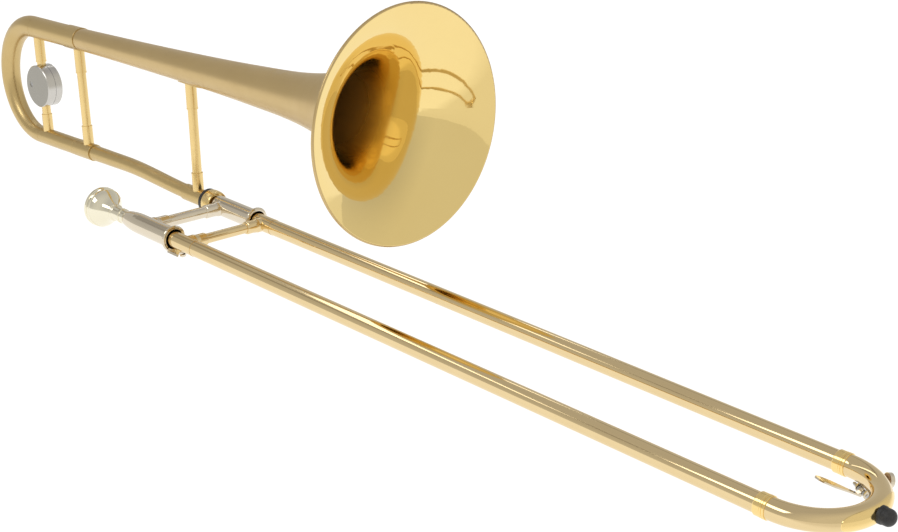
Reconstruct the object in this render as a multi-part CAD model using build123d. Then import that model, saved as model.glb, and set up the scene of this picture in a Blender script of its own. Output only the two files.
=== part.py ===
"""Straight tenor slide trombone, built from its separate tubes, ferrules, braces and fittings.

Frame, millimetres: the origin is the centre of the inner slide brace, where the left hand grips.
+X runs along the slide towards the slide bow and the bell mouth, +Y is the side of the bell
section, -Y the side of the mouthpiece, and +Z points up to the bell.
"""

import math
import os

from build123d import *

# ---- driving dimensions: slide ------------------------------------------------------------
SLIDE_HALF_SPACING = 44.0          # each slide tube's distance from the slide's centre line
INNER_TUBE_R = 6.75                # outside radius of the chromed inner tube
INNER_TUBE_BORE_R = 6.35
STOCKING_R = 6.97                  # enlarged end of the inner tube, 0.07 mm inside the outer tube
STOCKING_LENGTH = 100.0
OUTER_TUBE_BORE_R = 7.04
OUTER_TUBE_R = 7.35
INNER_TUBE_START = -4.0
INNER_TUBE_END = 690.0
OUTER_TUBE_START = 26.0
BOW_JOINT_X = 697.0                # where the outer tubes meet the slide bow
BOW_CENTRE_X = 702.0
BOW_TUBE_R = 7.8

# ---- driving dimensions: cork barrels, receivers and neck joint ---------------------------
BARREL_BORE_R = 8.95
MOUTHPIECE_BARREL_R = 9.6
BELL_BARREL_R = 9.35
BARREL_START = -9.0
BELL_BARREL_START = -2.0
MOUTHPIECE_BARREL_END = 44.7
BELL_BARREL_END = 52.0
BARREL_MOUTH_R = 9.4               # the barrels' open ends are opened out to this
FLANGE_R = 12.4
RECEIVER_START = -32.0             # open end of the mouthpiece receiver
NECK_THREAD_R = 8.6
NECK_FERRULE_R = 8.15
NECK_FERRULE_START = -62.5
NECK_FERRULE_END = -30.0
NECK_JOINT = -38.0                 # front end of the gooseneck, inside its ferrule
NECK_START = -232.0                # rear end of the gooseneck, inside the lower receiver
NECK_BEND_START = -168.0
NECK_BEND_END = -55.0
NECK_REAR_R = 8.0
NECK_FRONT_R = 7.0
NECK_WALL = 0.55

# ---- driving dimensions: braces of the slide ----------------------------------------------
INNER_BRACE_R = 5.45
INNER_BRACE_FERRULE_R = 6.5
INNER_BRACE_STEP = 20.0
OUTER_BRACE_X = 61.9
OUTER_BRACE_R = 4.65
OUTER_BRACE_FERRULE_R = 6.1
OUTER_BRACE_STEP = 22.0

# ---- driving dimensions: bell section -----------------------------------------------------
TILT = 1.85                        # the bell and the tuning legs rise towards +X, degrees
RIM_X = 259.0                      # plane of the bell mouth
RIM_Z = 136.75                     # height of the bell's axis at the mouth
RIM_R = 102.2
STEM_LAW = (10.6, 0.566)           # shift and power of r = RIM_R * (shift / (shift - s)) ** power
MOUTH_LAW = (34.0, 0.929)          # the same law near the mouth
LAW_BLEND = (-200.0, -100.0)       # the stem's law gives way to the mouth's law between these
BELL_WALL = 0.5
BELL_TAIL_X = -245.0
BELL_STEM_END = 100.0              # seam between the bell's stem and its spun flare
AIM = 0.415                        # the bell section points this far outwards, degrees
AIM_X = -34.0                      # it turns about the middle of the neck ferrule
UPPER_LEG_R = 11.4
LOWER_LEG_R = 8.8
LOWER_LEG_Z_AT = (-301.0, -0.65)   # a point (x, z) on the axis of the lower tuning leg
UPPER_RECEIVER = (-264.0, -239.3)  # start and end, x
LOWER_RECEIVER = (-259.5, -226.6)
UPPER_RECEIVER_R = 12.1
LOWER_RECEIVER_R = 8.95
TUNING_BOW_X = -335.0              # centre of the tuning bow
TUNING_BOW_SQUEEZE = 0.95          # the bow is this much shallower than a half circle
TUNING_SEAM_X = -329.0             # where the bow meets the straight legs
TUNING_INNER_END = -205.0
TUNING_GAP = 0.3                   # left between the legs and the receivers when pushed in

# ---- driving dimensions: bell braces and counterweight ------------------------------------
BELL_BRACE_R = 4.65
BELL_BRACE_WALL = 0.6
BELL_BRACE_FERRULE_R = 5.45
TUNING_BRACE = ((-326.5, 104.4), (-318.9, 3.7))
REAR_BRACE = ((-246.8, 107.4), (-238.1, 6.4))
FRONT_BRACE = ((-49.0, 109.9), (-42.3, 6.0))
FERRULE_UPPER = 23.0               # length of the upper ferrule below the bell or leg axis
WEIGHT_CENTRE = (-320.0, 56.4)
WEIGHT_R = 22.5
WEIGHT_NEAR = 9.4
WEIGHT_FAR = 8.3
WEIGHT_SEAM = 0.3

# ---- small fittings -----------------------------------------------------------------------
KEY_ANGLE = 60.5                   # the water key's place round the slide bow, from +X
KEY_PIVOT = (37.3, -8.0)           # pivot in the key's own plane: distance from bow axis, z
KEY_SPATULA = ((1.8, 6.7), (33.9, -9.5))
KEY_NIPPLE_TILT = -7.0
LOCK_LUG_X = 52.5
LOCK_LUG_ANGLE = 254.0             # direction of the lug about the slide tube, from +Y to +Z

PARTS = {}
BELL_SECTION = ("bell_stem", "bell_flare", "bell_rim", "bell_saddle", "gooseneck", "lower_tuning",
                "upper_tuning", "neck_ferrule", "rear_brace", "front_brace", "tuning_", "counterweight")


def keep(name, shape):
    """Store a finished sub-part under its node name, and turn the bell section outwards."""
    if name.startswith(BELL_SECTION):
        turn = Pos(AIM_X, SLIDE_HALF_SPACING, 0) * Rot(0, 0, AIM) * Pos(-AIM_X, -SLIDE_HALF_SPACING, 0)
        shape = [turn * piece for piece in shape] if isinstance(shape, list) else turn * shape
    PARTS[name] = shape


def turned(outline, y=0.0, z=0.0):
    """Solid of revolution about a line along X through (y, z); outline holds (x, radius) pairs."""
    face = make_face(Polyline(*outline, close=True).edges())
    return Pos(0, y, z) * revolve(face, Axis.X, 360)


def tube(x0, x1, outer, bore, y=0.0, z=0.0):
    """Straight tube along X."""
    return turned([(x0, bore), (x1, bore), (x1, outer), (x0, outer)], y, z)


def rod(x0, x1, radius, y=0.0, z=0.0):
    """Straight solid rod along X."""
    return Pos((x0 + x1) / 2, y, z) * Rot(0, 90, 0) * Cylinder(radius, x1 - x0)


def sector(x0, x1, r0, r1, a0, a1, y=0.0, z=0.0):
    """Part of a tube about a line along X, between two angles counted from +Y towards +Z."""
    face = make_face(Polyline((x0, r0), (x1, r0), (x1, r1), (x0, r1), close=True).edges())
    return Pos(0, y, z) * Rot(a0, 0, 0) * revolve(face, Axis.X, a1 - a0)


def between(start, end, outer, bore=0.0):
    """Round bar or tube from one point to another."""
    line = Vector(*end) - Vector(*start)
    bar = Cylinder(outer, line.length, align=(Align.CENTER, Align.CENTER, Align.MIN))
    if bore > 0:
        bar -= Cylinder(bore, line.length, align=(Align.CENTER, Align.CENTER, Align.MIN))
    return Plane(origin=Vector(*start), z_dir=line).location * bar


def lofted(stations, radius):
    """Smooth solid through circles; stations holds (plane, radius) and radius maps the second."""
    return loft([plane * Circle(radius(r)) for plane, r in stations])


# ---- the bell's own line ------------------------------------------------------------------
BELL_LINE = Pos(RIM_X, SLIDE_HALF_SPACING, RIM_Z) * Rot(0, -TILT, 0)
SLOPE = math.tan(math.radians(TILT))


def bell_axis_z(x):
    """Height of the bell's axis at x."""
    return RIM_Z + (x - RIM_X) * SLOPE


def lower_axis_z(x):
    """Height of the lower tuning leg's axis at x."""
    return LOWER_LEG_Z_AT[1] + (x - LOWER_LEG_Z_AT[0]) * SLOPE


LOWER_LINE = Pos(0, SLIDE_HALF_SPACING, lower_axis_z(0)) * Rot(0, -TILT, 0)
UPPER_LINE = Pos(0, SLIDE_HALF_SPACING, bell_axis_z(0)) * Rot(0, -TILT, 0)


def along(x):
    """Distance along a tilted line from x = 0."""
    return x / math.cos(math.radians(TILT))


def on_upper(shape):
    """Place a shape made about the X axis onto the bell's axis."""
    return UPPER_LINE * shape


def on_lower(shape):
    """Place a shape made about the X axis onto the lower leg's axis."""
    return LOWER_LINE * shape


def flare_radius(s):
    """Outside radius of the bell at distance s from the mouth, negative to the rear."""
    stem, mouth = [RIM_R * (shift / (shift - s)) ** power for shift, power in (STEM_LAW, MOUTH_LAW)]
    share = min(1.0, max(0.0, (s - LAW_BLEND[0]) / (LAW_BLEND[1] - LAW_BLEND[0])))
    share = share * share * (3.0 - 2.0 * share)
    return stem + (mouth - stem) * share


def flare_slope(s):
    """How fast the bell's radius grows at distance s from the mouth."""
    return (flare_radius(s + 0.05) - flare_radius(s - 0.05)) / 0.1


# ---- inner slide --------------------------------------------------------------------------
def inner_slide():
    """Both inner tubes with their stockings, barrels, receivers and brace."""
    for side, y in (("mouthpiece_side", -SLIDE_HALF_SPACING), ("bell_side", SLIDE_HALF_SPACING)):
        keep("inner_tube_" + side,
             tube(INNER_TUBE_START, INNER_TUBE_END, INNER_TUBE_R, INNER_TUBE_BORE_R, y))
        keep("stocking_" + side,
             tube(INNER_TUBE_END - STOCKING_LENGTH, INNER_TUBE_END, STOCKING_R, INNER_TUBE_R, y))
        keep("slide_bumper_cork_" + side,
             tube(13.0, OUTER_TUBE_START - 1.5, BARREL_BORE_R, INNER_TUBE_R, y))
    plug_end = 3.0
    # Cork barrel on the mouthpiece side: a collar and an end lip hold the turning lock ring.
    y = -SLIDE_HALF_SPACING
    barrel = tube(BARREL_START, MOUTHPIECE_BARREL_END, MOUTHPIECE_BARREL_R, BARREL_BORE_R, y)
    barrel += tube(39.4, 40.8, 10.9, MOUTHPIECE_BARREL_R - 0.2, y)
    barrel += tube(43.2, 44.4, 10.3, MOUTHPIECE_BARREL_R - 0.2, y)
    barrel -= barrel_mouth(MOUTHPIECE_BARREL_END, y)
    keep("cork_barrel_mouthpiece_side", barrel)
    nose = [(RECEIVER_START, 6.2), (-31.3, 6.9), (-29.0, 7.6), (-25.0, 8.35), (-20.0, 9.0),
            (-14.5, 9.45), (BARREL_START, MOUTHPIECE_BARREL_R), (BARREL_START, BARREL_BORE_R),
            (plug_end, BARREL_BORE_R)]
    bore = [(plug_end, INNER_TUBE_R), (INNER_TUBE_START, INNER_TUBE_R),
            (INNER_TUBE_START, INNER_TUBE_BORE_R), (RECEIVER_START + 0.6, INNER_TUBE_BORE_R),
            (RECEIVER_START, 6.15)]
    keep("mouthpiece_receiver", turned(nose + bore, y))
    # Venturi of the leadpipe: it narrows past the mouthpiece shank and opens again.
    keep("leadpipe", turned([(-31.0, INNER_TUBE_BORE_R), (-31.0, shank_radius(-31.0) + 0.05),
                             (1.0, shank_radius(1.0) + 0.05), (6.0, 5.2), (14.0, 5.2),
                             (200.0, 6.05), (200.0, INNER_TUBE_BORE_R)], y))
    # Bell side: the cork barrel with its plain flange, and the threaded neck receiver.
    y = SLIDE_HALF_SPACING
    barrel = tube(BELL_BARREL_START, BELL_BARREL_END, BELL_BARREL_R, BARREL_BORE_R, y)
    end = BELL_BARREL_END
    barrel += turned([(end - 5.0, BELL_BARREL_R - 0.2), (end, BELL_BARREL_R - 0.2), (end, 10.0),
                      (end - 0.3, 11.0), (end - 0.8, 11.9), (end - 1.6, FLANGE_R),
                      (end - 2.5, FLANGE_R - 0.1), (end - 3.3, 11.6), (end - 4.0, 10.4),
                      (end - 5.0, BELL_BARREL_R)], y)
    barrel -= barrel_mouth(end, y)
    keep("cork_barrel_bell_side", barrel)
    body = [(TENON_SHOULDER, NECK_THREAD_R), (-9.0, NECK_THREAD_R), (-8.6, BELL_BARREL_R - 0.2),
            (-8.3, BELL_BARREL_R), (-7.7, BELL_BARREL_R), (-7.5, 9.0), (-7.0, 9.0),
            (-6.8, BELL_BARREL_R), (-3.6, BELL_BARREL_R), (-3.4, 9.0), (-2.9, 9.0),
            (-2.7, BELL_BARREL_R), (BELL_BARREL_START, BELL_BARREL_R),
            (BELL_BARREL_START, BARREL_BORE_R), (plug_end, BARREL_BORE_R),
            (plug_end, INNER_TUBE_R), (INNER_TUBE_START, INNER_TUBE_R),
            (INNER_TUBE_START, tenon_radius(INNER_TUBE_START) + 0.05),
            (TENON_SHOULDER, tenon_radius(TENON_SHOULDER) + 0.05)]
    keep("neck_receiver", turned(body, y))
    inner_brace()


def barrel_mouth(end, y):
    """Cone that opens out the end of a barrel's bore."""
    return turned([(end - 0.7, 0), (end - 0.7, BARREL_BORE_R), (end, BARREL_MOUTH_R), (end, 0)], y)


def inner_brace():
    """Left-hand brace between the two cork barrels."""
    barrels = rod(-40, 60, MOUTHPIECE_BARREL_R, -SLIDE_HALF_SPACING)
    barrels += rod(-40, 60, BELL_BARREL_R, SLIDE_HALF_SPACING)
    reach = SLIDE_HALF_SPACING - 5.0
    core = between((0, -reach, 0), (0, reach, 0), INNER_BRACE_R, INNER_BRACE_R - 0.8)
    keep("inner_brace_tube", core - barrels)
    keep("inner_brace_ferrules", brace_ferrules(0.0, reach, INNER_BRACE_STEP, INNER_BRACE_R,
                                                INNER_BRACE_FERRULE_R, barrels))


def brace_ferrules(x, reach, step, core_r, outer_r, tubes):
    """The two flared ferrules of a slide brace, cut to sit on the tubes."""
    foot = SLIDE_HALF_SPACING - 9.0
    outline = [(step, core_r), (reach, core_r), (reach, outer_r + 0.8), (foot, outer_r + 0.8),
               (foot - 1.2, outer_r + 0.45), (foot - 3.0, outer_r + 0.1), (foot - 4.5, outer_r),
               (step + 1.8, outer_r), (step + 1.2, outer_r - 0.5), (step + 0.5, outer_r - 0.5),
               (step, outer_r - 0.8)]
    return [Pos(x, 0, 0) * Rot(0, 0, angle) * turned(outline) - tubes for angle in (-90, 90)]


# ---- mouthpiece ---------------------------------------------------------------------------
MOUTHPIECE_START = -79.5
MOUTHPIECE_END = -2.0


def shank_radius(x):
    """Outside radius of the mouthpiece shank at x."""
    return 5.95 - (x - RECEIVER_START) * 0.02


def mouthpiece():
    """Cup, rim, bead and tapered shank turned from one bar."""
    y = -SLIDE_HALF_SPACING
    x0 = MOUTHPIECE_START
    with BuildPart() as piece:
        with BuildSketch(Plane.XY):
            with BuildLine():
                rim = ThreePointArc((x0 + 1.6, 13.0), (x0, 15.6), (x0 + 3.6, 19.1))
                steps = Polyline(rim @ 1, (x0 + 4.6, 19.1), (x0 + 5.0, 18.4), (x0 + 6.4, 18.4),
                                 (x0 + 6.8, 19.0), (x0 + 8.6, 18.7), (x0 + 9.0, 17.9),
                                 (x0 + 10.2, 17.6))
                cup = Spline(steps @ 1, (x0 + 12.5, 16.3), (x0 + 15.0, 14.4), (x0 + 18.0, 11.9),
                             (x0 + 21.0, 9.9), (x0 + 24.0, 8.4), (x0 + 26.0, 7.6))
                bead = ThreePointArc(cup @ 1, (x0 + 27.4, 8.2), (x0 + 28.8, 7.2))
                neck = Polyline(bead @ 1, (x0 + 29.6, 6.9), (x0 + 38.0, 6.5), (x0 + 38.5, 7.2),
                                (x0 + 40.5, 7.2), (x0 + 41.0, 6.4), (RECEIVER_START - 0.4, 6.2),
                                (RECEIVER_START - 0.4, shank_radius(RECEIVER_START)),
                                (RECEIVER_START, shank_radius(RECEIVER_START)),
                                (MOUTHPIECE_END, shank_radius(MOUTHPIECE_END)), (MOUTHPIECE_END, 4.9),
                                (x0 + 31.0, 3.3), (x0 + 24.5, 3.3))
                Spline(neck @ 1, (x0 + 21.0, 6.6), (x0 + 14.0, 10.4), (x0 + 6.0, 12.3), rim @ 0)
            make_face()
        revolve(axis=Axis.X)
    keep("mouthpiece", Pos(0, y, 0) * piece.part)


# ---- slide lock ---------------------------------------------------------------------------
LOCK_RING_BACK = 41.0
LOCK_RING_FRONT = 44.3
LOCK_TAB_END = 57.8
LOCK_TAB_IN = 11.6
LOCK_TAB_OUT = 13.6
LOCK_LUG_R = 1.6


def slide_lock():
    """Turning ring with a slotted tab that catches the lug of the outer slide."""
    y = -SLIDE_HALF_SPACING
    channel = 9.0
    back = LOCK_RING_BACK
    ring = turned([(back, 9.95), (42.8, 9.95), (42.8, 10.5), (LOCK_RING_FRONT, 10.5),
                   (LOCK_RING_FRONT, 11.2), (back + 2.9, 12.1), (back + 2.2, FLANGE_R),
                   (back + 1.5, FLANGE_R - 0.1), (back + 0.8, 11.9), (back + 0.2, 11.2),
                   (back, 10.5)], y)
    ring += sector(back + 0.9, LOCK_TAB_END - 3.0, LOCK_TAB_IN, LOCK_TAB_OUT,
                   LOCK_LUG_ANGLE - 14.0, LOCK_LUG_ANGLE + 38.0, y)
    ring += sector(back + 0.9, LOCK_TAB_END - 0.9, LOCK_TAB_IN, LOCK_TAB_OUT,
                   LOCK_LUG_ANGLE - 14.0, LOCK_LUG_ANGLE + 33.0, y)
    ring += sector(back + 0.9, LOCK_TAB_END, LOCK_TAB_IN, LOCK_TAB_OUT,
                   LOCK_LUG_ANGLE - 12.0, LOCK_LUG_ANGLE + 27.0, y)
    ring -= sector(LOCK_LUG_X - 2.1, LOCK_TAB_END + 1, LOCK_TAB_IN - 1, LOCK_TAB_OUT + 1,
                   LOCK_LUG_ANGLE - channel, LOCK_LUG_ANGLE + channel, y)
    ring -= sector(LOCK_LUG_X - 2.1, LOCK_LUG_X + 2.1, LOCK_TAB_IN - 1, LOCK_TAB_OUT + 1,
                   LOCK_LUG_ANGLE, LOCK_LUG_ANGLE + 24.0 + channel, y)
    keep("slide_lock_ring", ring)
    lug = Pos(LOCK_LUG_X, y, 0) * Rot(LOCK_LUG_ANGLE, 0, 0) * Rot(-90, 0, 0) * (
        Pos(0, 0, (SLEEVE_R + LOCK_TAB_OUT) / 2 - 0.2) * Cylinder(LOCK_LUG_R, LOCK_TAB_OUT - SLEEVE_R)
        + Pos(0, 0, SLEEVE_R + 0.7) * Cylinder(2.9, 1.8))
    keep("slide_lock_lug", lug - rod(0, 100, SLEEVE_R, y))


# ---- outer slide --------------------------------------------------------------------------
SLEEVE_R = 7.62
SLEEVE_START = 26.0
SLEEVE_END = 78.0
BOW_FERRULE_R = 8.35
BOW_FERRULE = (692.5, 701.6)
GUARD_PLACE = 35.0                 # half the guard plate's reach round the bow, degrees
GUARD_TURN = 56.0                  # half its reach round the bow tube
BUMPER_Z = 1.4
BUMPER_R = 5.9


def outer_slide():
    """Outer tubes, their brace and sleeves, and the slide bow with its fittings."""
    for side, y in (("mouthpiece_side", -SLIDE_HALF_SPACING), ("bell_side", SLIDE_HALF_SPACING)):
        keep("outer_tube_" + side,
             tube(OUTER_TUBE_START, BOW_JOINT_X, OUTER_TUBE_R, OUTER_TUBE_BORE_R, y))
        keep("brace_sleeve_" + side, tube(SLEEVE_START, SLEEVE_END, SLEEVE_R, OUTER_TUBE_R, y))
        keep("bow_ferrule_" + side, bow_ferrule(y))
    tubes = rod(0, 100, SLEEVE_R, -SLIDE_HALF_SPACING) + rod(0, 100, SLEEVE_R, SLIDE_HALF_SPACING)
    reach = SLIDE_HALF_SPACING - 4.0
    core = between((OUTER_BRACE_X, -reach, 0), (OUTER_BRACE_X, reach, 0),
                   OUTER_BRACE_R, OUTER_BRACE_R - 0.8)
    keep("outer_brace_tube", core - tubes)
    keep("outer_brace_ferrules", brace_ferrules(OUTER_BRACE_X, reach, OUTER_BRACE_STEP,
                                                OUTER_BRACE_R, OUTER_BRACE_FERRULE_R, tubes))
    slide_bow()


def bow_ferrule(y):
    """Turned ferrule over the joint of outer tube and bow, with two grooves at the bow end."""
    start, end = BOW_FERRULE
    groove = BOW_FERRULE_R - 0.25
    outline = [(start, OUTER_TUBE_R), (BOW_JOINT_X, OUTER_TUBE_R), (BOW_JOINT_X, BOW_TUBE_R),
               (end, BOW_TUBE_R), (end, BOW_FERRULE_R - 0.1), (end - 0.3, BOW_FERRULE_R + 0.1),
               (end - 1.3, BOW_FERRULE_R + 0.1), (end - 1.5, groove), (end - 2.0, groove),
               (end - 2.2, BOW_FERRULE_R + 0.1), (end - 3.0, BOW_FERRULE_R + 0.1),
               (end - 3.2, groove), (end - 3.7, groove), (end - 3.9, BOW_FERRULE_R),
               (start + 0.5, BOW_FERRULE_R), (start, BOW_FERRULE_R - 0.3)]
    return turned(outline, y)


def bow_band(r0, r1, turn0, turn1, place0, place1):
    """Band on the bow tube: radii and angles round the tube, then places round the bow."""
    mean = (turn0 + turn1) / 2
    arc = []
    for r in (r0, r1):
        arc.append([(SLIDE_HALF_SPACING + r * math.cos(math.radians(a)), r * math.sin(math.radians(a)))
                    for a in (turn0, mean, turn1)])
    with BuildSketch(Plane.XZ) as section:
        with BuildLine():
            ThreePointArc(*arc[0])
            Line(arc[0][2], arc[1][2])
            ThreePointArc(arc[1][2], arc[1][1], arc[1][0])
            Line(arc[1][0], arc[0][0])
        make_face()
    band = revolve(section.sketch, Axis.Z, place1 - place0)
    return Pos(BOW_CENTRE_X, 0, 0) * Rot(0, 0, place0) * band


def guard_pad(radius):
    """Column with the rounded outline of the guard plate, to cut it from a band."""
    power = 2.0 / 2.7
    points = []
    for i in range(40):
        a = math.radians(9.0 * i)
        across = math.copysign(abs(math.cos(a)) ** power, math.cos(a)) * GUARD_PLACE
        round_tube = math.radians(math.copysign(abs(math.sin(a)) ** power, math.sin(a)) * GUARD_TURN)
        reach = SLIDE_HALF_SPACING + radius * math.cos(round_tube)
        points.append((reach * math.sin(math.radians(across)), radius * math.sin(round_tube)))
    face = make_face(Spline(*points, periodic=True).edges())
    return extrude(Plane(origin=(BOW_CENTRE_X, 0, 0), x_dir=(0, 1, 0), z_dir=(1, 0, 0)) * face, 70)


def bow_solid(radius):
    """The bow as a filled bar of one radius, with its straight ends."""
    section = Plane.XZ * Pos(SLIDE_HALF_SPACING, 0) * Circle(radius)
    bend = Pos(BOW_CENTRE_X, 0, 0) * Rot(0, 0, -90) * revolve(section, Axis.Z, 180)
    for y in (-SLIDE_HALF_SPACING, SLIDE_HALF_SPACING):
        bend += rod(BOW_JOINT_X, BOW_CENTRE_X, radius, y)
    return bend


def in_key_plane(shape):
    """Place a shape whose x is the distance from the bow's axis into the water key's plane."""
    return Pos(BOW_CENTRE_X, 0, 0) * Rot(0, 0, KEY_ANGLE) * shape


NIPPLE_LINE = Pos(SLIDE_HALF_SPACING, 0, 0) * Rot(0, -KEY_NIPPLE_TILT, 0)


def slide_bow():
    """The bow, its guard plate, the bumper on its post, and the water key's fixed pieces."""
    filled = bow_solid(BOW_TUBE_R)
    bow = filled - bow_solid(OUTER_TUBE_BORE_R)
    bow -= in_key_plane(NIPPLE_LINE * rod(5.0, 12.0, 1.6))
    keep("slide_bow", bow)
    guard_r = BOW_TUBE_R + 0.5
    keep("bow_guard", bow_band(BOW_TUBE_R, guard_r, -75, 75, -45, 45) & guard_pad(guard_r))
    guard_solid = Pos(BOW_CENTRE_X, 0, 0) * Rot(0, 0, -30) * revolve(
        Plane.XZ * Pos(SLIDE_HALF_SPACING, 0) * Circle(guard_r), Axis.Z, 60)
    outer_x = BOW_CENTRE_X + SLIDE_HALF_SPACING + guard_r
    post = rod(outer_x - 2.0, outer_x + 6.0, 2.4, 0, BUMPER_Z)
    keep("bumper_post", post - guard_solid)
    x = outer_x - 1.0
    dome = [(x, 0), (x, 6.1), (x + 0.2, 6.3), (x + 2.4, 6.3), (x + 2.8, 6.1), (x + 3.0, BUMPER_R)]
    dome += [(x + 6.2 + 4.9 * math.sin(math.radians(a)), BUMPER_R * math.cos(math.radians(a)))
             for a in range(0, 91, 15)]
    keep("rubber_bumper", turned(dome, 0, BUMPER_Z) - post - guard_solid)
    water_key_mounting(filled)


def water_key_mounting(filled):
    """Nipple, saddle and pivot screw, which stay on the bow."""
    nipple = in_key_plane(NIPPLE_LINE * tube(6.5, 9.2, 3.0, 1.6)) - filled
    keep("water_key_nipple", nipple)
    px, pz = KEY_PIVOT
    toward = math.degrees(math.atan2(-pz, SLIDE_HALF_SPACING - px))
    ear = Pos(px, 0, pz) * Rot(0, -toward, 0) * (
        Rot(90, 0, 0) * Cylinder(2.6, 1.2) + Pos(4.0, 0, 0) * Box(8.0, 1.2, 5.2))
    ears = Pos(0, 5.6, 0) * ear + Pos(0, -5.6, 0) * ear
    foot_angle = 180.0 + math.degrees(math.atan2(-pz, SLIDE_HALF_SPACING - px))
    foot = bow_band(BOW_TUBE_R, BOW_TUBE_R + 0.25, foot_angle - 24, foot_angle + 24,
                    KEY_ANGLE - 10.5, KEY_ANGLE + 10.5)
    saddle = in_key_plane(ears) - filled + foot
    screw = Pos(px, 0, pz) * Rot(0, 0, 90) * rod(-6.6, 6.6, 1.2)
    saddle -= in_key_plane(screw)
    keep("water_key_saddle", saddle)
    head = Pos(px, 0, pz) * Rot(0, 0, 90) * (
        rod(6.3, 8.0, 1.6) + turned([(8.0, 0), (8.0, 1.3), (11.5, 1.3), (12.6, 0.9), (13.0, 0)]))
    keep("water_key_pivot_screw", in_key_plane(screw + head))


def water_key():
    """Lever with its barrel, the cork cup, the cork and the spring."""
    px, pz = KEY_PIVOT
    across = Pos(px, 0, pz) * Rot(0, 0, 90)
    barrel = across * tube(-1.8, 1.8, 2.1, 1.25)
    # The arm runs under the bow tube from the pivot to the back of the cup.
    with BuildSketch(Plane.XZ) as section:
        with BuildLine():
            inner, outer = [[(SLIDE_HALF_SPACING + (r + half) * math.cos(math.radians(a)),
                              (r + half) * math.sin(math.radians(a)))
                             for a, r in ((236.0, 10.9), (290.0, 12.4), (348.0, 13.9))]
                            for half in (-1.0, 1.0)]
            ThreePointArc(*inner)
            Line(inner[2], outer[2])
            ThreePointArc(outer[2], outer[1], outer[0])
            Line(outer[0], inner[0])
        make_face()
    arm = extrude(section.sketch, 1.7, both=True)
    # The spatula rises from under the barrel to the middle of the bow.
    tip_s, tip_z = KEY_SPATULA[0]
    root_s, root_z = KEY_SPATULA[1]
    length = math.hypot(root_s - tip_s, root_z - tip_z)
    plate = make_face(Polyline((-2.0, -1.7), (8.0, -2.4), (21.0, -4.6), (31.0, -4.2),
                               (length - 1.5, -2.6), (length, -0.8), (length, 0.8),
                               (length - 1.5, 2.6), (31.0, 4.2), (21.0, 4.6), (8.0, 2.4),
                               (-2.0, 1.7), close=True).edges())
    rise = math.degrees(math.atan2(tip_z - root_z, root_s - tip_s))
    spatula = Pos(root_s, 0, root_z) * Rot(0, rise, 0) * Rot(0, 0, 180) * extrude(plate, 0.6, both=True)
    link = Plane.XZ * make_face(Polyline((32.9, -8.4), (35.7, -7.1), (37.4, -10.0), (34.8, -10.6),
                                         (32.6, -9.4), close=True).edges())
    spatula += extrude(link, 1.7, both=True)
    shaft = across * rod(-8, 8, 1.25)
    cup_back = NIPPLE_LINE * rod(12.3, 13.2, 5.2)
    cup_wall = NIPPLE_LINE * tube(10.2, 12.3, 5.2, 4.4)
    lever = barrel + arm + spatula - shaft - NIPPLE_LINE * rod(5.0, 12.3, 5.2)
    lever -= cup_back
    keep("water_key_lever", in_key_plane(lever))
    keep("water_key_cup", in_key_plane(cup_wall + cup_back))
    keep("water_key_cork", in_key_plane(NIPPLE_LINE * rod(9.4, 12.3, 4.4)))
    coils = []
    for side in (-1, 1):
        for turn in range(3):
            middle = side * (2.5 + 0.85 * turn)
            coils.append(in_key_plane(across * (Pos(middle, 0, 0) * Rot(0, 90, 0) * Torus(1.75, 0.3))))
    keep("water_key_spring", coils)


# ---- bell section -------------------------------------------------------------------------
TENON_SHOULDER = -20.0


def tenon_radius(x):
    """Outside radius of the tapered neck tenon at x."""
    return 7.25 - (x - TENON_SHOULDER) * 0.018


def neck_joint():
    """Tenon and its ferrule at the front of the neck, and the lock nut on the tenon."""
    y = SLIDE_HALF_SPACING
    bore = 6.2
    keep("neck_tenon", turned([(NECK_JOINT + 0.2, bore), (-6.0, bore), (-6.0, tenon_radius(-6.0)),
                               (TENON_SHOULDER, tenon_radius(TENON_SHOULDER)), (-20.5, 8.3),
                               (-21.7, 8.3), (-21.7, 7.6), (NECK_JOINT + 0.2, 7.6)], y))
    keep("neck_washer", turned([(-27.0, 7.6), (-23.1, 7.6), (-23.1, 11.6), (-23.5, 12.0),
                                (-26.5, 12.0), (-27.0, 11.5)], y))
    keep("neck_ferrule", turned([(NECK_JOINT, 7.65), (NECK_FERRULE_END, 7.65),
                                 (NECK_FERRULE_END, NECK_FERRULE_R - 0.2),
                                 (NECK_FERRULE_END - 0.3, NECK_FERRULE_R),
                                 (NECK_FERRULE_START + 0.6, NECK_FERRULE_R),
                                 (NECK_FERRULE_START, NECK_FERRULE_R - 0.3),
                                 (NECK_FERRULE_START, 7.0), (NECK_JOINT, 7.0)], y))
    nut = [(-23.0, 7.9), (-21.9, 7.9), (-21.9, 8.65), (-15.5, 8.65), (-15.0, 10.3), (-11.2, 10.6),
           (-11.0, 10.9), (-11.3, 11.3), (-12.4, 11.8), (-14.2, 12.2), (-16.0, 12.35), (-18.0, 12.45),
           (-20.0, 12.45), (-21.6, 12.3), (-22.6, 11.9), (-23.0, 11.3)]
    keep("bell_lock_nut", turned(nut, y))


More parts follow.
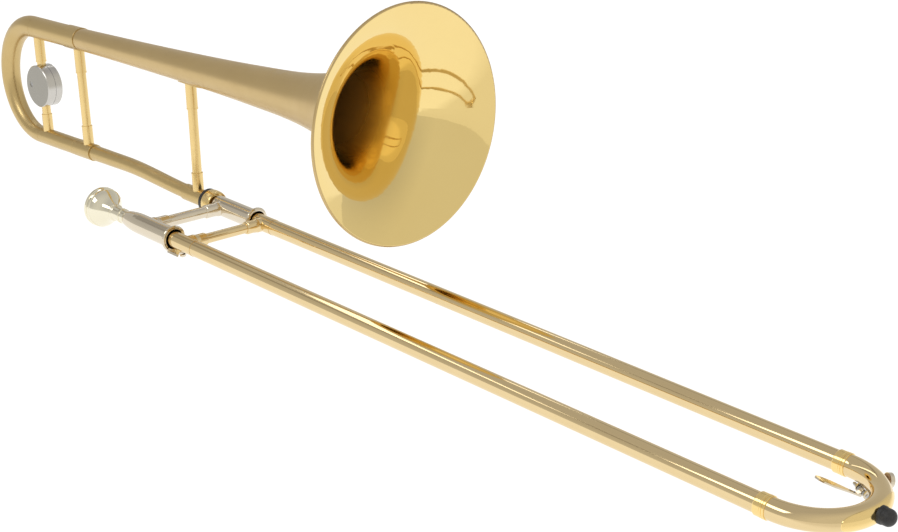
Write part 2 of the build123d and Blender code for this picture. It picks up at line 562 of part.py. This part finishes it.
def gooseneck():
    """Slightly tapered neck pipe: straight behind, then a gentle swing down to the neck joint."""
    stations = []
    for x in (NECK_START, -215.0, -198.0, -182.0, NECK_BEND_START, -150.0, -131.0, -112.0, -93.0,
              -73.0, NECK_BEND_END, NECK_JOINT - 0.3):
        rise = neck_height(x + 0.5) - neck_height(x - 0.5)
        plane = Plane(origin=(x, SLIDE_HALF_SPACING, neck_height(x)), x_dir=(0, 1, 0),
                      z_dir=(1.0, 0, rise))
        share = (x - NECK_START) / (NECK_JOINT - NECK_START)
        stations.append((plane, NECK_REAR_R + (NECK_FRONT_R - NECK_REAR_R) * share))
    outer = lofted(stations, lambda r: r)
    inner = lofted(stations, lambda r: r - NECK_WALL)
    bite = turned([(NECK_FERRULE_START - 0.5, 7.0), (-35.0, 7.0), (-35.0, 20.0),
                   (NECK_FERRULE_START - 0.5, 20.0)], SLIDE_HALF_SPACING)
    keep("gooseneck", outer - inner - bite)
    return outer


def neck_height(x):
    """Height of the neck's centre line at x."""
    if x <= NECK_BEND_START:
        return lower_axis_z(x)
    if x >= NECK_BEND_END:
        return 0.0
    run = NECK_BEND_END - NECK_BEND_START
    t = (x - NECK_BEND_START) / run
    start_z = lower_axis_z(NECK_BEND_START)
    return start_z * (2 * t ** 3 - 3 * t ** 2 + 1) + run * SLOPE * (t ** 3 - 2 * t ** 2 + t)


def bell():
    """Flared bell with the rolled edge round its rim wire."""
    tail = along(BELL_TAIL_X - RIM_X)
    last = -0.55
    steps = 30
    spacing = 18.0
    ratio = (spacing - tail) / (spacing - last)
    outside = []
    inside = []
    for i in range(steps + 1):
        s = spacing - (spacing - tail) / ratio ** (i / steps)
        r = flare_radius(s)
        slope = flare_slope(s)
        size = math.hypot(1.0, slope)
        outside.append((s, r))
        inside.append((s + BELL_WALL * slope / size, r - BELL_WALL / size))
    bead_in = 1.0
    bead_out = 1.5
    slope = flare_slope(last)
    size = math.hypot(1.0, slope)
    bead = (outside[-1][0] - bead_in * slope / size, outside[-1][1] + bead_in / size)
    with BuildSketch() as profile:
        with BuildLine():
            back = Spline(*outside)
            front = Spline(*inside)
            Line(back @ 0, front @ 0)
            Line(back @ 1, front @ 1)
        make_face()
        with Locations(bead):
            Circle(bead_out)
        with Locations(bead):
            Circle(bead_in, mode=Mode.SUBTRACT)
    whole = BELL_LINE * revolve(profile.sketch, Axis.X, 360)
    span = 2 * RIM_X
    half = Pos(BELL_STEM_END - span, SLIDE_HALF_SPACING, RIM_Z) * Box(2 * span, 60, 100)
    keep("bell_stem", whole & half)
    keep("bell_flare", whole - half)
    wire = Rot(0, 90, 0) * Torus(bead[1], bead_in)
    keep("bell_rim_wire", BELL_LINE * Pos(bead[0], 0, 0) * wire)
    outline = [(tail - 30, 0)] + [(tail - 30, outside[0][1])] + outside + [(outside[-1][0], 0)]
    return BELL_LINE * turned(outline)


def receivers(bell_filled, neck_filled):
    """The two receivers that the tuning slide's inner tubes run in."""
    x0, x1 = UPPER_RECEIVER
    outline = [(along(x0), UPPER_INNER_R + 0.05), (along(BELL_TAIL_X), UPPER_INNER_R + 0.05),
               (along(x1), UPPER_INNER_R + 0.05), (along(x1), UPPER_RECEIVER_R - 0.15),
               (along(x1) - 0.3, UPPER_RECEIVER_R), (along(x0) + 0.4, UPPER_RECEIVER_R),
               (along(x0), UPPER_RECEIVER_R - 0.4)]
    bell_part = bell_filled & on_upper(rod(along(BELL_TAIL_X), along(x1) + 5, 20.0))
    keep("upper_tuning_receiver", on_upper(turned(outline)) - bell_part)
    x0, x1 = LOWER_RECEIVER
    outline = [(along(x0), LOWER_INNER_R + 0.05), (along(x1), LOWER_INNER_R + 0.05),
               (along(x1), LOWER_RECEIVER_R - 0.15), (along(x1) - 0.3, LOWER_RECEIVER_R),
               (along(x0) + 0.3, LOWER_RECEIVER_R), (along(x0), LOWER_RECEIVER_R - 0.25)]
    keep("lower_tuning_receiver", on_lower(turned(outline)) - neck_filled)


def bell_brace(name, ends, envelope, lower_step):
    """Thin brace tube with a ferrule at each end, cut to sit on the tubes it joins."""
    (ux, uz), (lx, lz) = ends
    y = SLIDE_HALF_SPACING
    top = Vector(ux, y, uz)
    down = (Vector(lx, y, lz) - top).normalized()
    high = top - down * 16.0
    low = Vector(lx, y, lz) + down * 6.0
    core = between(tuple(high), tuple(low), BELL_BRACE_R, BELL_BRACE_R - BELL_BRACE_WALL)
    keep(name + "_tube", pick_span(core - envelope, top, down))
    upper_end = top + down * FERRULE_UPPER
    lower_end = Vector(lx, y, lz) - down * lower_step
    ferrules = []
    for start, end in ((high, upper_end), (low, lower_end)):
        sleeve = between(tuple(start), tuple(end), BELL_BRACE_FERRULE_R, BELL_BRACE_R)
        run = (end - start).normalized()
        lip = between(tuple(end - run * 1.4), tuple(end - run * 0.2),
                      BELL_BRACE_FERRULE_R + 0.2, BELL_BRACE_FERRULE_R - 0.2)
        ferrules.append(pick_span(sleeve + lip - envelope, top, down))
    keep(name + "_ferrules", ferrules)


def pick_span(shape, top, down):
    """Keep the largest piece of a cut brace tube."""
    return max(shape.solids(), key=lambda piece: piece.volume)


def bell_saddle(bell_filled):
    """Leaf-shaped plate under the bell that carries the front brace."""
    x = FRONT_BRACE[0][0]
    centre = along(x - RIM_X)
    leaf = make_face([ThreePointArc((centre - 21, 0), (centre, 8.5), (centre + 21, 0)),
                      ThreePointArc((centre + 21, 0), (centre, -8.5), (centre - 21, 0))])
    column = extrude(leaf, -40)
    thick = bell_shell(0.9)
    keep("bell_saddle_plate", (BELL_LINE * column) & thick - bell_filled)


def bell_shell(thickness):
    """The bell's outside, filled and swollen by a small thickness, over the brace's region."""
    points = []
    for i in range(9):
        s = -340.0 + 8.0 * i
        points.append((s, flare_radius(s) + thickness))
    return BELL_LINE * turned([(points[0][0], 0)] + points + [(points[-1][0], 0)])


# ---- tuning slide -------------------------------------------------------------------------
UPPER_INNER_R = 10.6
LOWER_INNER_R = 7.0


def tuning_slide():
    """Tuning bow, its two legs with inner tubes, and the brace that holds the counterweight."""
    leg = {}
    for side, place, radius, inner, stop in (
            ("upper", on_upper, UPPER_LEG_R, UPPER_INNER_R, UPPER_RECEIVER[0]),
            ("lower", on_lower, LOWER_LEG_R, LOWER_INNER_R, LOWER_RECEIVER[0])):
        x0 = along(TUNING_SEAM_X)
        x1 = along(stop) - TUNING_GAP
        collar = x1 - 16.0
        shell = turned([(x0, radius - 0.5), (collar, radius - 0.5), (collar, inner), (x1, inner),
                        (x1, radius - 0.3), (x1 - 0.3, radius), (x0 + 0.2, radius),
                        (x0, radius - 0.2)])
        keep("tuning_leg_" + side, place(shell))
        keep("tuning_inner_tube_" + side,
             place(tube(collar, along(TUNING_INNER_END), inner, inner - 0.45)))
        leg[side] = place(rod(x0 - 60, x1, radius))
    bow_filled = tuning_bow()
    envelope = leg["upper"] + leg["lower"]
    bell_brace("tuning_brace", TUNING_BRACE, envelope + bow_filled, 21.0)


def tuning_bow():
    """Tapered half-circle bow with short straight ends up to the seams."""
    cos_t = math.cos(math.radians(TILT))
    x = TUNING_BOW_X
    high = bell_axis_z(x)
    low = lower_axis_z(x)
    centre_z = (high + low) / 2
    bend_r = (high - low) * cos_t / 2
    frame = Pos(x, SLIDE_HALF_SPACING, centre_z) * Rot(0, -TILT, 0)
    seam_shift = bend_r * math.sin(math.radians(TILT))
    outer, inner = [], []
    steps = 12
    for i in range(steps + 1):
        share = i / steps
        turn = math.radians(-90.0 - 180.0 * share)
        deep = TUNING_BOW_SQUEEZE
        plane = Plane(origin=(deep * bend_r * math.cos(turn), 0, bend_r * math.sin(turn)),
                      x_dir=(0, 1, 0), z_dir=(deep * math.sin(turn), 0, -math.cos(turn)))
        radius = LOWER_LEG_R + (UPPER_LEG_R - LOWER_LEG_R) * share
        outer.append(plane * Circle(radius))
        inner.append(plane * Circle(radius - 0.5))
    filled = loft(outer)
    hollow = loft(inner)
    for side, radius in ((-1, LOWER_LEG_R), (1, UPPER_LEG_R)):
        straight = along(TUNING_SEAM_X - x + side * seam_shift)
        filled += rod(0, straight, radius, 0, side * bend_r)
        hollow += rod(0, straight, radius - 0.5, 0, side * bend_r)
    keep("tuning_bow", frame * (filled - hollow))
    return frame * filled


def counterweight():
    """Two metal halves clamped round the tuning brace by one screw."""
    x, z = WEIGHT_CENTRE
    (ux, uz), (lx, lz) = TUNING_BRACE
    y = SLIDE_HALF_SPACING
    run = Vector(lx, y, lz) - Vector(ux, y, uz)
    groove = between((ux, y, uz), tuple(Vector(ux, y, uz) + run), BELL_BRACE_R)
    screw_x = x - 12.8
    shank = between((screw_x, y - WEIGHT_NEAR + 2.2, z), (screw_x, y + WEIGHT_FAR - 1.5, z), 1.6)
    head = between((screw_x, y - WEIGHT_NEAR + 0.9, z), (screw_x, y - WEIGHT_NEAR + 3.2, z), 3.0)
    slot = Pos(screw_x, y - WEIGHT_NEAR + 1.1, z) * Box(0.8, 1.0, 6.0)
    keep("counterweight_screw", shank + head - slot)
    for name, y0, y1, chamfered in (("counterweight_near_half", y - WEIGHT_NEAR, y - WEIGHT_SEAM / 2, -1),
                                    ("counterweight_far_half", y + WEIGHT_SEAM / 2, y + WEIGHT_FAR, 1)):
        half = between((x, y0, z), (x, y1, z), WEIGHT_R)
        rim = half.edges().filter_by(GeomType.CIRCLE).sort_by(Axis.Y)
        half = chamfer(rim[0] if chamfered < 0 else rim[-1], 0.8)
        half -= groove
        half -= between((screw_x, y0 - 1, z), (screw_x, y1 - (1.5 if chamfered > 0 else -1), z), 1.6)
        if chamfered < 0:
            half -= between((screw_x, y0 - 1, z), (screw_x, y0 + 3.2, z), 3.0)
        keep(name, half)


def write_parts():
    """One STEP file for each node."""
    os.makedirs("parts", exist_ok=True)
    for name, shape in PARTS.items():
        if isinstance(shape, list):
            shape = Compound(children=[piece.solids()[0] for piece in shape])
        export_step(shape, "parts/" + name + ".step")


inner_slide()
mouthpiece()
slide_lock()
outer_slide()
water_key()
neck_joint()
NECK_FILLED = gooseneck()
BELL_FILLED = bell()
receivers(BELL_FILLED, NECK_FILLED)
UPPER_BODY = BELL_FILLED + on_upper(rod(along(UPPER_RECEIVER[0]), along(UPPER_RECEIVER[1]), UPPER_RECEIVER_R))
LOWER_BODY = NECK_FILLED + on_lower(rod(along(LOWER_RECEIVER[0]), along(LOWER_RECEIVER[1]), LOWER_RECEIVER_R))
LOWER_BODY += rod(NECK_FERRULE_START, NECK_FERRULE_END, NECK_FERRULE_R, SLIDE_HALF_SPACING)
bell_brace("rear_brace", REAR_BRACE, UPPER_BODY + LOWER_BODY, 22.5)
bell_brace("front_brace", FRONT_BRACE, UPPER_BODY + LOWER_BODY + bell_shell(0.9), 18.5)
bell_saddle(BELL_FILLED)
tuning_slide()
counterweight()
write_parts()
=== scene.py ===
import bpy
from mathutils import Matrix, Vector

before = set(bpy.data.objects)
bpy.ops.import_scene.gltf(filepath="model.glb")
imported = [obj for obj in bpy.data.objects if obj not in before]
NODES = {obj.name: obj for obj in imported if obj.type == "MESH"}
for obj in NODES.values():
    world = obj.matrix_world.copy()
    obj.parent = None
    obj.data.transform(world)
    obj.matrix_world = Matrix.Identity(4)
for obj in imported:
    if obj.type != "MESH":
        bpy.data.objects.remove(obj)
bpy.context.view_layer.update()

# ---- camera -------------------------------------------------------------------------------
CAM_POS = Vector((1.20931, -0.82040, 0.50111))
RIGHT = Vector((0.687984, 0.725427, 0.020855))
DOWN = Vector((0.270239, -0.229409, -0.935063))
FORWARD = Vector((-0.673535, 0.648944, -0.353868))
LENS_SHARE = 1618.5 / 898           # focal length as a share of the frame's width


def add_camera():
    """Camera at the measured viewing point, with no shift and no depth of field."""
    data = bpy.data.cameras.new("camera")
    cam = bpy.data.objects.new("camera", data)
    bpy.context.scene.collection.objects.link(cam)
    data.sensor_width = 36.0
    data.lens = LENS_SHARE * 36.0
    data.clip_start = 0.02
    data.clip_end = 60.0
    turn = Matrix((RIGHT, -DOWN, -FORWARD)).transposed()
    cam.matrix_world = Matrix.Translation(CAM_POS) @ turn.to_4x4()
    bpy.context.scene.camera = cam


# ---- node helpers -------------------------------------------------------------------------
class Tree:
    """Short calls for building the node tree of a material or of the world."""

    def __init__(self, owner):
        owner.use_nodes = True
        self.nodes = owner.node_tree.nodes
        self.links = owner.node_tree.links

    def coordinates(self, kind):
        """Texture coordinates of one kind, such as Object or Generated."""
        return self.nodes.new("ShaderNodeTexCoord").outputs[kind]

    def parts_of(self, vector):
        """The x, y and z of a vector."""
        node = self.nodes.new("ShaderNodeSeparateXYZ")
        self.put(node.inputs[0], vector)
        return node.outputs

    def put(self, socket, value):
        """Link a socket, or set it to a constant."""
        if isinstance(value, bpy.types.NodeSocket):
            self.links.new(value, socket)
        else:
            socket.default_value = value

    def stretched(self, vector, scale):
        """Coordinates stretched along each axis."""
        node = self.nodes.new("ShaderNodeMapping")
        self.put(node.inputs["Vector"], vector)
        node.inputs["Scale"].default_value = scale
        return node.outputs[0]

    def noise(self, vector, scale, detail=3.0, rough=0.55):
        """Fractal noise, 0 to 1."""
        node = self.nodes.new("ShaderNodeTexNoise")
        self.put(node.inputs["Vector"], vector)
        node.inputs["Scale"].default_value = scale
        node.inputs["Detail"].default_value = detail
        node.inputs["Roughness"].default_value = rough
        return node.outputs[0]

    def span(self, value, low, high, out_low, out_high):
        """Map a value from one range onto another."""
        node = self.nodes.new("ShaderNodeMapRange")
        self.put(node.inputs["Value"], value)
        limits = {"From Min": low, "From Max": high, "To Min": out_low, "To Max": out_high}
        for name, number in limits.items():
            node.inputs[name].default_value = number
        return node.outputs[0]

    def step(self, kind, a, b=0.0):
        """One arithmetic step, such as ADD or MULTIPLY."""
        node = self.nodes.new("ShaderNodeMath")
        node.operation = kind
        self.put(node.inputs[0], a)
        self.put(node.inputs[1], b)
        return node.outputs[0]

    def mix(self, share, a, b):
        """Blend two colours."""
        node = self.nodes.new("ShaderNodeMix")
        node.data_type = "RGBA"
        self.put(node.inputs["Factor"], share)
        for socket, value in (("A", a), ("B", b)):
            colours = [s for s in node.inputs if s.name == socket and s.type == "RGBA"]
            self.put(colours[0], (*value, 1.0) if isinstance(value, tuple) else value)
        return [s for s in node.outputs if s.type == "RGBA"][0]

    def blend(self, share, a, b):
        """Blend two numbers."""
        node = self.nodes.new("ShaderNodeMix")
        self.put(node.inputs["Factor"], share)
        self.put(node.inputs[2], a)
        self.put(node.inputs[3], b)
        return node.outputs[0]

    def ramp(self, value, steps):
        """Colour read off a list of (position, colour) steps."""
        node = self.nodes.new("ShaderNodeValToRGB")
        self.put(node.inputs[0], value)
        elements = node.color_ramp.elements
        while len(elements) < len(steps):
            elements.new(0.5)
        for element, (at, colour) in zip(elements, steps):
            element.position = at
            element.color = (*colour, 1.0)
        return node.outputs[0]

    def bump(self, height, strength, distance):
        """Small relief, its distance in metres."""
        node = self.nodes.new("ShaderNodeBump")
        node.inputs["Strength"].default_value = strength
        node.inputs["Distance"].default_value = distance
        self.put(node.inputs["Height"], height)
        return node.outputs[0]


class Surface(Tree):
    """One material's node tree, with its shader and the piece's own coordinates."""

    def __init__(self, name):
        self.material = bpy.data.materials.new(name)
        super().__init__(self.material)
        self.shader = self.nodes["Principled BSDF"]
        self.place = self.coordinates("Object")


def metal(name, colour, shade, rough, lines=0.0, spin=False, spread=0.3):
    """Polished or satin metal, with drifting colour and hairlines along the tube or, spun, round it."""
    t = Surface(name)
    cloud = t.noise(t.place, 22.0, 4.0)
    blotch = t.noise(t.place, 90.0, 3.0)
    if spin:
        hair = t.noise(t.stretched(t.place, (900.0, 12.0, 12.0)), 1.0, 2.0)
    else:
        hair = t.noise(t.stretched(t.place, (4.0, 1500.0, 1500.0)), 1.0, 2.0)
    t.put(t.shader.inputs["Base Color"], t.mix(t.span(cloud, 0.3, 0.7, 0.0, 1.0), colour, shade))
    drift = t.span(blotch, 0.3, 0.7, rough * (1 - spread), rough * (1 + spread))
    streak = t.span(hair, 0.3, 0.7, 1 - spread / 2, 1 + spread / 2)
    t.put(t.shader.inputs["Roughness"], t.step("MULTIPLY", drift, streak))
    t.shader.inputs["Metallic"].default_value = 1.0
    if lines > 0:
        t.put(t.shader.inputs["Normal"], t.bump(hair, lines, 0.00002))
    return t


def rubber(name):
    """Moulded black rubber with a fine grain and patches of dust."""
    t = Surface(name)
    grain = t.noise(t.place, 2600.0, 3.0)
    dust = t.noise(t.place, 260.0, 4.0)
    dusty = t.mix(t.span(dust, 0.35, 0.75, 0.0, 1.0), (0.012, 0.012, 0.013), (0.045, 0.044, 0.042))
    t.put(t.shader.inputs["Base Color"], dusty)
    t.put(t.shader.inputs["Roughness"], t.span(grain, 0.3, 0.7, 0.42, 0.62))
    t.put(t.shader.inputs["Normal"], t.bump(grain, 0.2, 0.00001))
    return t


def cork(name):
    """Pressed cork: light body with dark specks."""
    t = Surface(name)
    cells = t.nodes.new("ShaderNodeTexVoronoi")
    t.put(cells.inputs["Vector"], t.place)
    cells.inputs["Scale"].default_value = 900.0
    speck = t.span(cells.outputs["Distance"], 0.1, 0.6, 0.0, 1.0)
    t.put(t.shader.inputs["Base Color"], t.mix(speck, (0.16, 0.085, 0.04), (0.52, 0.34, 0.18)))
    t.shader.inputs["Roughness"].default_value = 0.85
    t.put(t.shader.inputs["Normal"], t.bump(speck, 0.5, 0.0002))
    return t


# ---- materials ----------------------------------------------------------------------------
BELL_AXIS_POINT = (0.259, 0.04612, 0.13675)
BELL_AXIS_SLOPE = (0.00724, 0.0323)    # rise of y and of z along x
THROAT_X = (0.16, 0.20)                # the satin throat turns into the polished flare here, where the painted sheen fades in
THROAT_ROUGHNESS = 0.34                # what the throat adds to the flare's roughness
WALL_SIDES = (-0.0005, 0.0005)         # radius times facing, below on the inside and above outside


def bell_metal():
    """Lacquered bell: satin outside and polished inside the flare, whose inside also carries a painted
    sheen, a brighter colour than the outside.
    """
    t = metal("bell_lacquer", (0.60, 0.445, 0.215), (0.58, 0.425, 0.20), 0.34, spin=True, spread=0.1)
    x, y, z = t.parts_of(t.place)
    along = t.step("SUBTRACT", x, BELL_AXIS_POINT[0])
    radial = t.nodes.new("ShaderNodeCombineXYZ")
    for axis, (value, slope) in enumerate(zip((y, z), BELL_AXIS_SLOPE), start=1):
        middle = t.step("ADD", t.step("MULTIPLY", along, slope), BELL_AXIS_POINT[axis])
        t.put(radial.inputs[axis], t.step("SUBTRACT", value, middle))
    facing = t.nodes.new("ShaderNodeVectorMath")
    facing.operation = "DOT_PRODUCT"
    t.put(facing.inputs[0], radial.outputs[0])
    t.put(facing.inputs[1], t.nodes.new("ShaderNodeNewGeometry").outputs["Normal"])
    inside = t.span(facing.outputs["Value"], WALL_SIDES[0], WALL_SIDES[1], 1.0, 0.0)
    outside_colour = t.shader.inputs["Base Color"].links[0].from_socket
    outside_rough = t.shader.inputs["Roughness"].links[0].from_socket
    # Inside, the polish stops where a buffing wheel no longer reaches down the throat; the painted sheen
    # in the flare's colour fades out along the same stretch.
    polish_and_sheen_reach = t.span(x, THROAT_X[0], THROAT_X[1], 0.0, 1.0)
    polish = t.span(t.noise(t.place, 60.0, 3.0), 0.3, 0.7, 0.035, 0.06)
    satin = t.step("MULTIPLY", t.step("SUBTRACT", 1.0, polish_and_sheen_reach), THROAT_ROUGHNESS)
    polish = t.step("ADD", polish, satin)
    # Painted sheen: the flare's inside is coloured brighter than the outside brass.
    painted_sheen = t.mix(t.span(t.noise(t.place, 14.0, 3.0), 0.3, 0.7, 0.0, 1.0),
                  (0.87, 0.675, 0.29), (0.855, 0.655, 0.275))
    inside_colour_with_sheen = t.mix(polish_and_sheen_reach, (0.62, 0.45, 0.19), painted_sheen)
    t.put(t.shader.inputs["Base Color"], t.mix(inside, outside_colour, inside_colour_with_sheen))
    t.put(t.shader.inputs["Roughness"], t.blend(inside, outside_rough, polish))
    return t


def weight_metal():
    """Counterweight: brushed side faces coloured darker as painted shade, which leaves the turned edge
    brighter.
    """
    t = metal("satin_nickel", (0.60, 0.58, 0.54), (0.58, 0.555, 0.51), 0.24, 0.1, spread=0.15)
    sideways = t.parts_of(t.coordinates("Normal"))[1]
    painted_shade_faces = t.span(t.step("ABSOLUTE", sideways), 0.85, 0.95, 0.0, 1.0)
    edge = t.shader.inputs["Base Color"].links[0].from_socket
    # Painted shade: the side faces get a dark grey in place of the metal's own colour.
    t.put(t.shader.inputs["Base Color"], t.mix(painted_shade_faces, edge, (0.33, 0.315, 0.275)))
    return t


MATERIALS = {
    "bell": bell_metal(),
    "rear": metal("rear_lacquer", (0.60, 0.445, 0.205), (0.57, 0.42, 0.185), 0.33, spread=0.1),
    "brace": metal("brace_lacquer", (0.84, 0.63, 0.285), (0.80, 0.59, 0.26), 0.24, spread=0.1),
    "rim": metal("rim_brass", (0.86, 0.68, 0.38), (0.82, 0.62, 0.32), 0.14, 0.2),
    "slide": metal("slide_lacquer", (0.79, 0.62, 0.345), (0.765, 0.595, 0.325), 0.07, 0.05, spread=0.15),
    "gold": metal("gold_lacquer", (0.94, 0.71, 0.31), (0.91, 0.67, 0.28), 0.14, 0.05, spread=0.15),
    "raw": metal("machined_brass", (0.78, 0.58, 0.27), (0.72, 0.52, 0.23), 0.22, 0.5),
    "nickel": metal("nickel_silver", (0.74, 0.66, 0.52), (0.71, 0.63, 0.495), 0.10, 0.05, spread=0.15),
    "chrome": metal("hard_chrome", (0.78, 0.79, 0.80), (0.74, 0.75, 0.77), 0.04, 0.2),
    "silver": metal("silver_plate", (0.86, 0.81, 0.64), (0.83, 0.78, 0.61), 0.08, spread=0.15),
    "weight": weight_metal(),
    "steel": metal("plain_steel", (0.56, 0.56, 0.56), (0.48, 0.48, 0.47), 0.24, 0.4),
    "rubber": rubber("black_rubber"),
    "cork": cork("pressed_cork"),
}
SIDES = ("mouthpiece_side", "bell_side")
LOOKS = {
    "bell": ["bell_stem", "bell_flare", "bell_saddle_plate"],
    "rim": ["bell_rim_wire"],
    "rear": ["gooseneck", "lower_tuning_receiver", "upper_tuning_receiver", "neck_ferrule", "tuning_bow",
             "tuning_leg_upper", "tuning_leg_lower"],
    "brace": ["rear_brace_tube", "rear_brace_ferrules", "front_brace_tube", "front_brace_ferrules",
              "tuning_brace_tube", "tuning_brace_ferrules", "bell_lock_nut"],
    "slide": ["outer_brace_tube", "outer_brace_ferrules", "slide_bow"]
             + ["outer_tube_" + s for s in SIDES] + ["brace_sleeve_" + s for s in SIDES],
    "gold": ["bow_guard"] + ["bow_ferrule_" + s for s in SIDES],
    "raw": ["neck_tenon", "leadpipe", "slide_lock_lug", "water_key_nipple"],
    "nickel": ["mouthpiece_receiver", "neck_receiver", "inner_brace_tube", "inner_brace_ferrules",
               "slide_lock_ring", "bumper_post", "water_key_saddle", "water_key_lever", "water_key_cup",
               "tuning_inner_tube_upper", "tuning_inner_tube_lower"]
              + ["cork_barrel_" + s for s in SIDES],
    "chrome": ["inner_tube_" + s for s in SIDES] + ["stocking_" + s for s in SIDES],
    "silver": ["mouthpiece"],
    "weight": ["counterweight_near_half", "counterweight_far_half"],
    "steel": ["counterweight_screw", "water_key_pivot_screw", "water_key_spring"],
    "rubber": ["rubber_bumper", "neck_washer"],
    "cork": ["water_key_cork"] + ["slide_bumper_cork_" + s for s in SIDES],
}


def dress():
    """Give every CAD node its material."""
    for look, names in LOOKS.items():
        for name in names:
            mesh = NODES[name].data
            mesh.materials.clear()
            mesh.materials.append(MATERIALS[look].material)


# ---- stage --------------------------------------------------------------------------------
FLOOR_Z = -0.2
FLOOR_HALF = 40.0
FLOOR_GLOW = 0.88
GLOW_FALLOFF_X = (0.85, 1.15)              # the floor's glow falls off from white to grey here: a painted light falloff


def add_floor():
    """White floor with its own glow, which keeps it even, and a painted light falloff that dims it to
    grey in front.
    """
    mesh = bpy.data.meshes.new("floor")
    h = FLOOR_HALF
    mesh.from_pydata([(-h, -h, FLOOR_Z), (h, -h, FLOOR_Z), (h, h, FLOOR_Z), (-h, h, FLOOR_Z)], [],
                     [(0, 1, 2, 3)])
    floor = bpy.data.objects.new("floor", mesh)
    bpy.context.scene.collection.objects.link(floor)
    t = Surface("studio_floor")
    paint = t.mix(t.noise(t.place, 30.0), (0.30, 0.30, 0.30), (0.32, 0.32, 0.32))
    t.put(t.shader.inputs["Base Color"], paint)
    t.shader.inputs["Roughness"].default_value = 1.0
    t.shader.inputs["Specular IOR Level"].default_value = 0.0
    x = t.parts_of(t.place)[0]
    # Painted light falloff: the glow dims from white to warm grey towards the front.
    front = t.span(x, GLOW_FALLOFF_X[0], GLOW_FALLOFF_X[1], 0.0, 1.0)
    t.put(t.shader.inputs["Emission Color"], t.mix(front, (1.0, 1.0, 1.0), (0.80, 0.785, 0.745)))
    t.shader.inputs["Emission Strength"].default_value = FLOOR_GLOW
    mesh.materials.append(t.material)


# The walls are coloured by direction: forward is the x and up is the z of a unit vector.
WALL_STEPS = [(0.0, (0.66, 0.65, 0.63)), (0.25, (0.60, 0.59, 0.57)), (0.6, (0.56, 0.55, 0.54)),
              (1.0, (0.54, 0.53, 0.53))]
FRONT_WALL = (0.76, 0.74, 0.69)
FRONT_FROM = (0.0, 0.6)                # forward, where the front wall's grey fades in
BAND_GREY = (0.36, 0.345, 0.325)
BAND_UP = (0.52, 0.55, 0.61, 0.64)     # up, where the dark band starts, is full, ends and is gone
BAND_REAR = (-0.3, -0.5)               # forward, where the band fades in on the rear wall


def add_world():
    """Grey studio walls, brighter in front; a dark band high at the rear draws lines on the tubes."""
    world = bpy.data.worlds.new("studio")
    bpy.context.scene.world = world
    t = Tree(world)
    forward, _, up = t.parts_of(t.coordinates("Generated"))
    walls = t.ramp(up, WALL_STEPS)
    band = t.ramp(up, [(at, (share,) * 3) for at, share in zip(BAND_UP, (0.0, 1.0, 1.0, 0.0))])
    rear = t.span(forward, BAND_REAR[0], BAND_REAR[1], 0.0, 1.0)
    banded = t.mix(t.step("MULTIPLY", rear, band), walls, BAND_GREY)
    front = t.span(forward, FRONT_FROM[0], FRONT_FROM[1], 0.0, 1.0)
    background = t.nodes["Background"]
    t.put(background.inputs["Color"], t.mix(front, banded, FRONT_WALL))
    background.inputs["Strength"].default_value = 1.0


# Each lamp's name, its place, the point it faces, its width and height, and its watts.
LAMPS = [
    ("overhead_softbox", (0.0, -1.6, 1.7), (0.6, 0.0, 0.0), (1.4, 0.8), 8.0),
    ("rear_strip", (-2.6, 0.0, 2.9), (0.2, 0.0, 0.0), (6.0, 0.3), 9.0),
]


def add_light(name, at, toward, size, watts):
    """Rectangular softbox."""
    data = bpy.data.lights.new(name, "AREA")
    data.shape = "RECTANGLE"
    data.size, data.size_y = size
    data.energy = watts
    lamp = bpy.data.objects.new(name, data)
    bpy.context.scene.collection.objects.link(lamp)
    lamp.location = at
    lamp.rotation_euler = (Vector(toward) - Vector(at)).to_track_quat("-Z", "Y").to_euler()


bpy.context.scene.view_settings.view_transform = "Standard"
add_camera()
dress()
add_floor()
add_world()
for lamp in LAMPS:
    add_light(*lamp)
